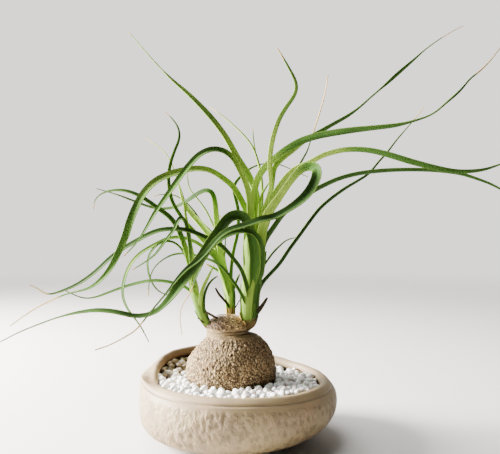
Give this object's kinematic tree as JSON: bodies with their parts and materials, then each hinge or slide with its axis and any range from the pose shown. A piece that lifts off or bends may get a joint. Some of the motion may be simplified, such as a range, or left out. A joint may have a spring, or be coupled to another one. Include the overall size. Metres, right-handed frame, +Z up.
{
  "type": "potted plant",
  "caption": "Potted ponytail palm: a swollen, cracked trunk with leafy shoots of long, narrow, arching leaves, standing in a low stoneware bowl topped with white pebbles.",
  "frame": {"origin": "centre of the bowl's flat foot, on the surface that it stands on", "axes": "+Z up, +X to the right as seen from the front, +Y away from the viewer"},
  "size_m": [0.5209, 0.3832, 0.4381],
  "materials": {
    "bowl": "matte",
    "soil": "matte",
    "gravel": "matte",
    "caudex": "matte",
    "leaves": "satin"
  },
  "bodies": {
    "root": {"bowl": "bowl", "soil": "soil", "gravel": "gravel", "caudex": "caudex", "large_shoot": "leaves", "middle_shoot": "leaves", "left_shoot": "leaves"}
  },
  "joints": []
}
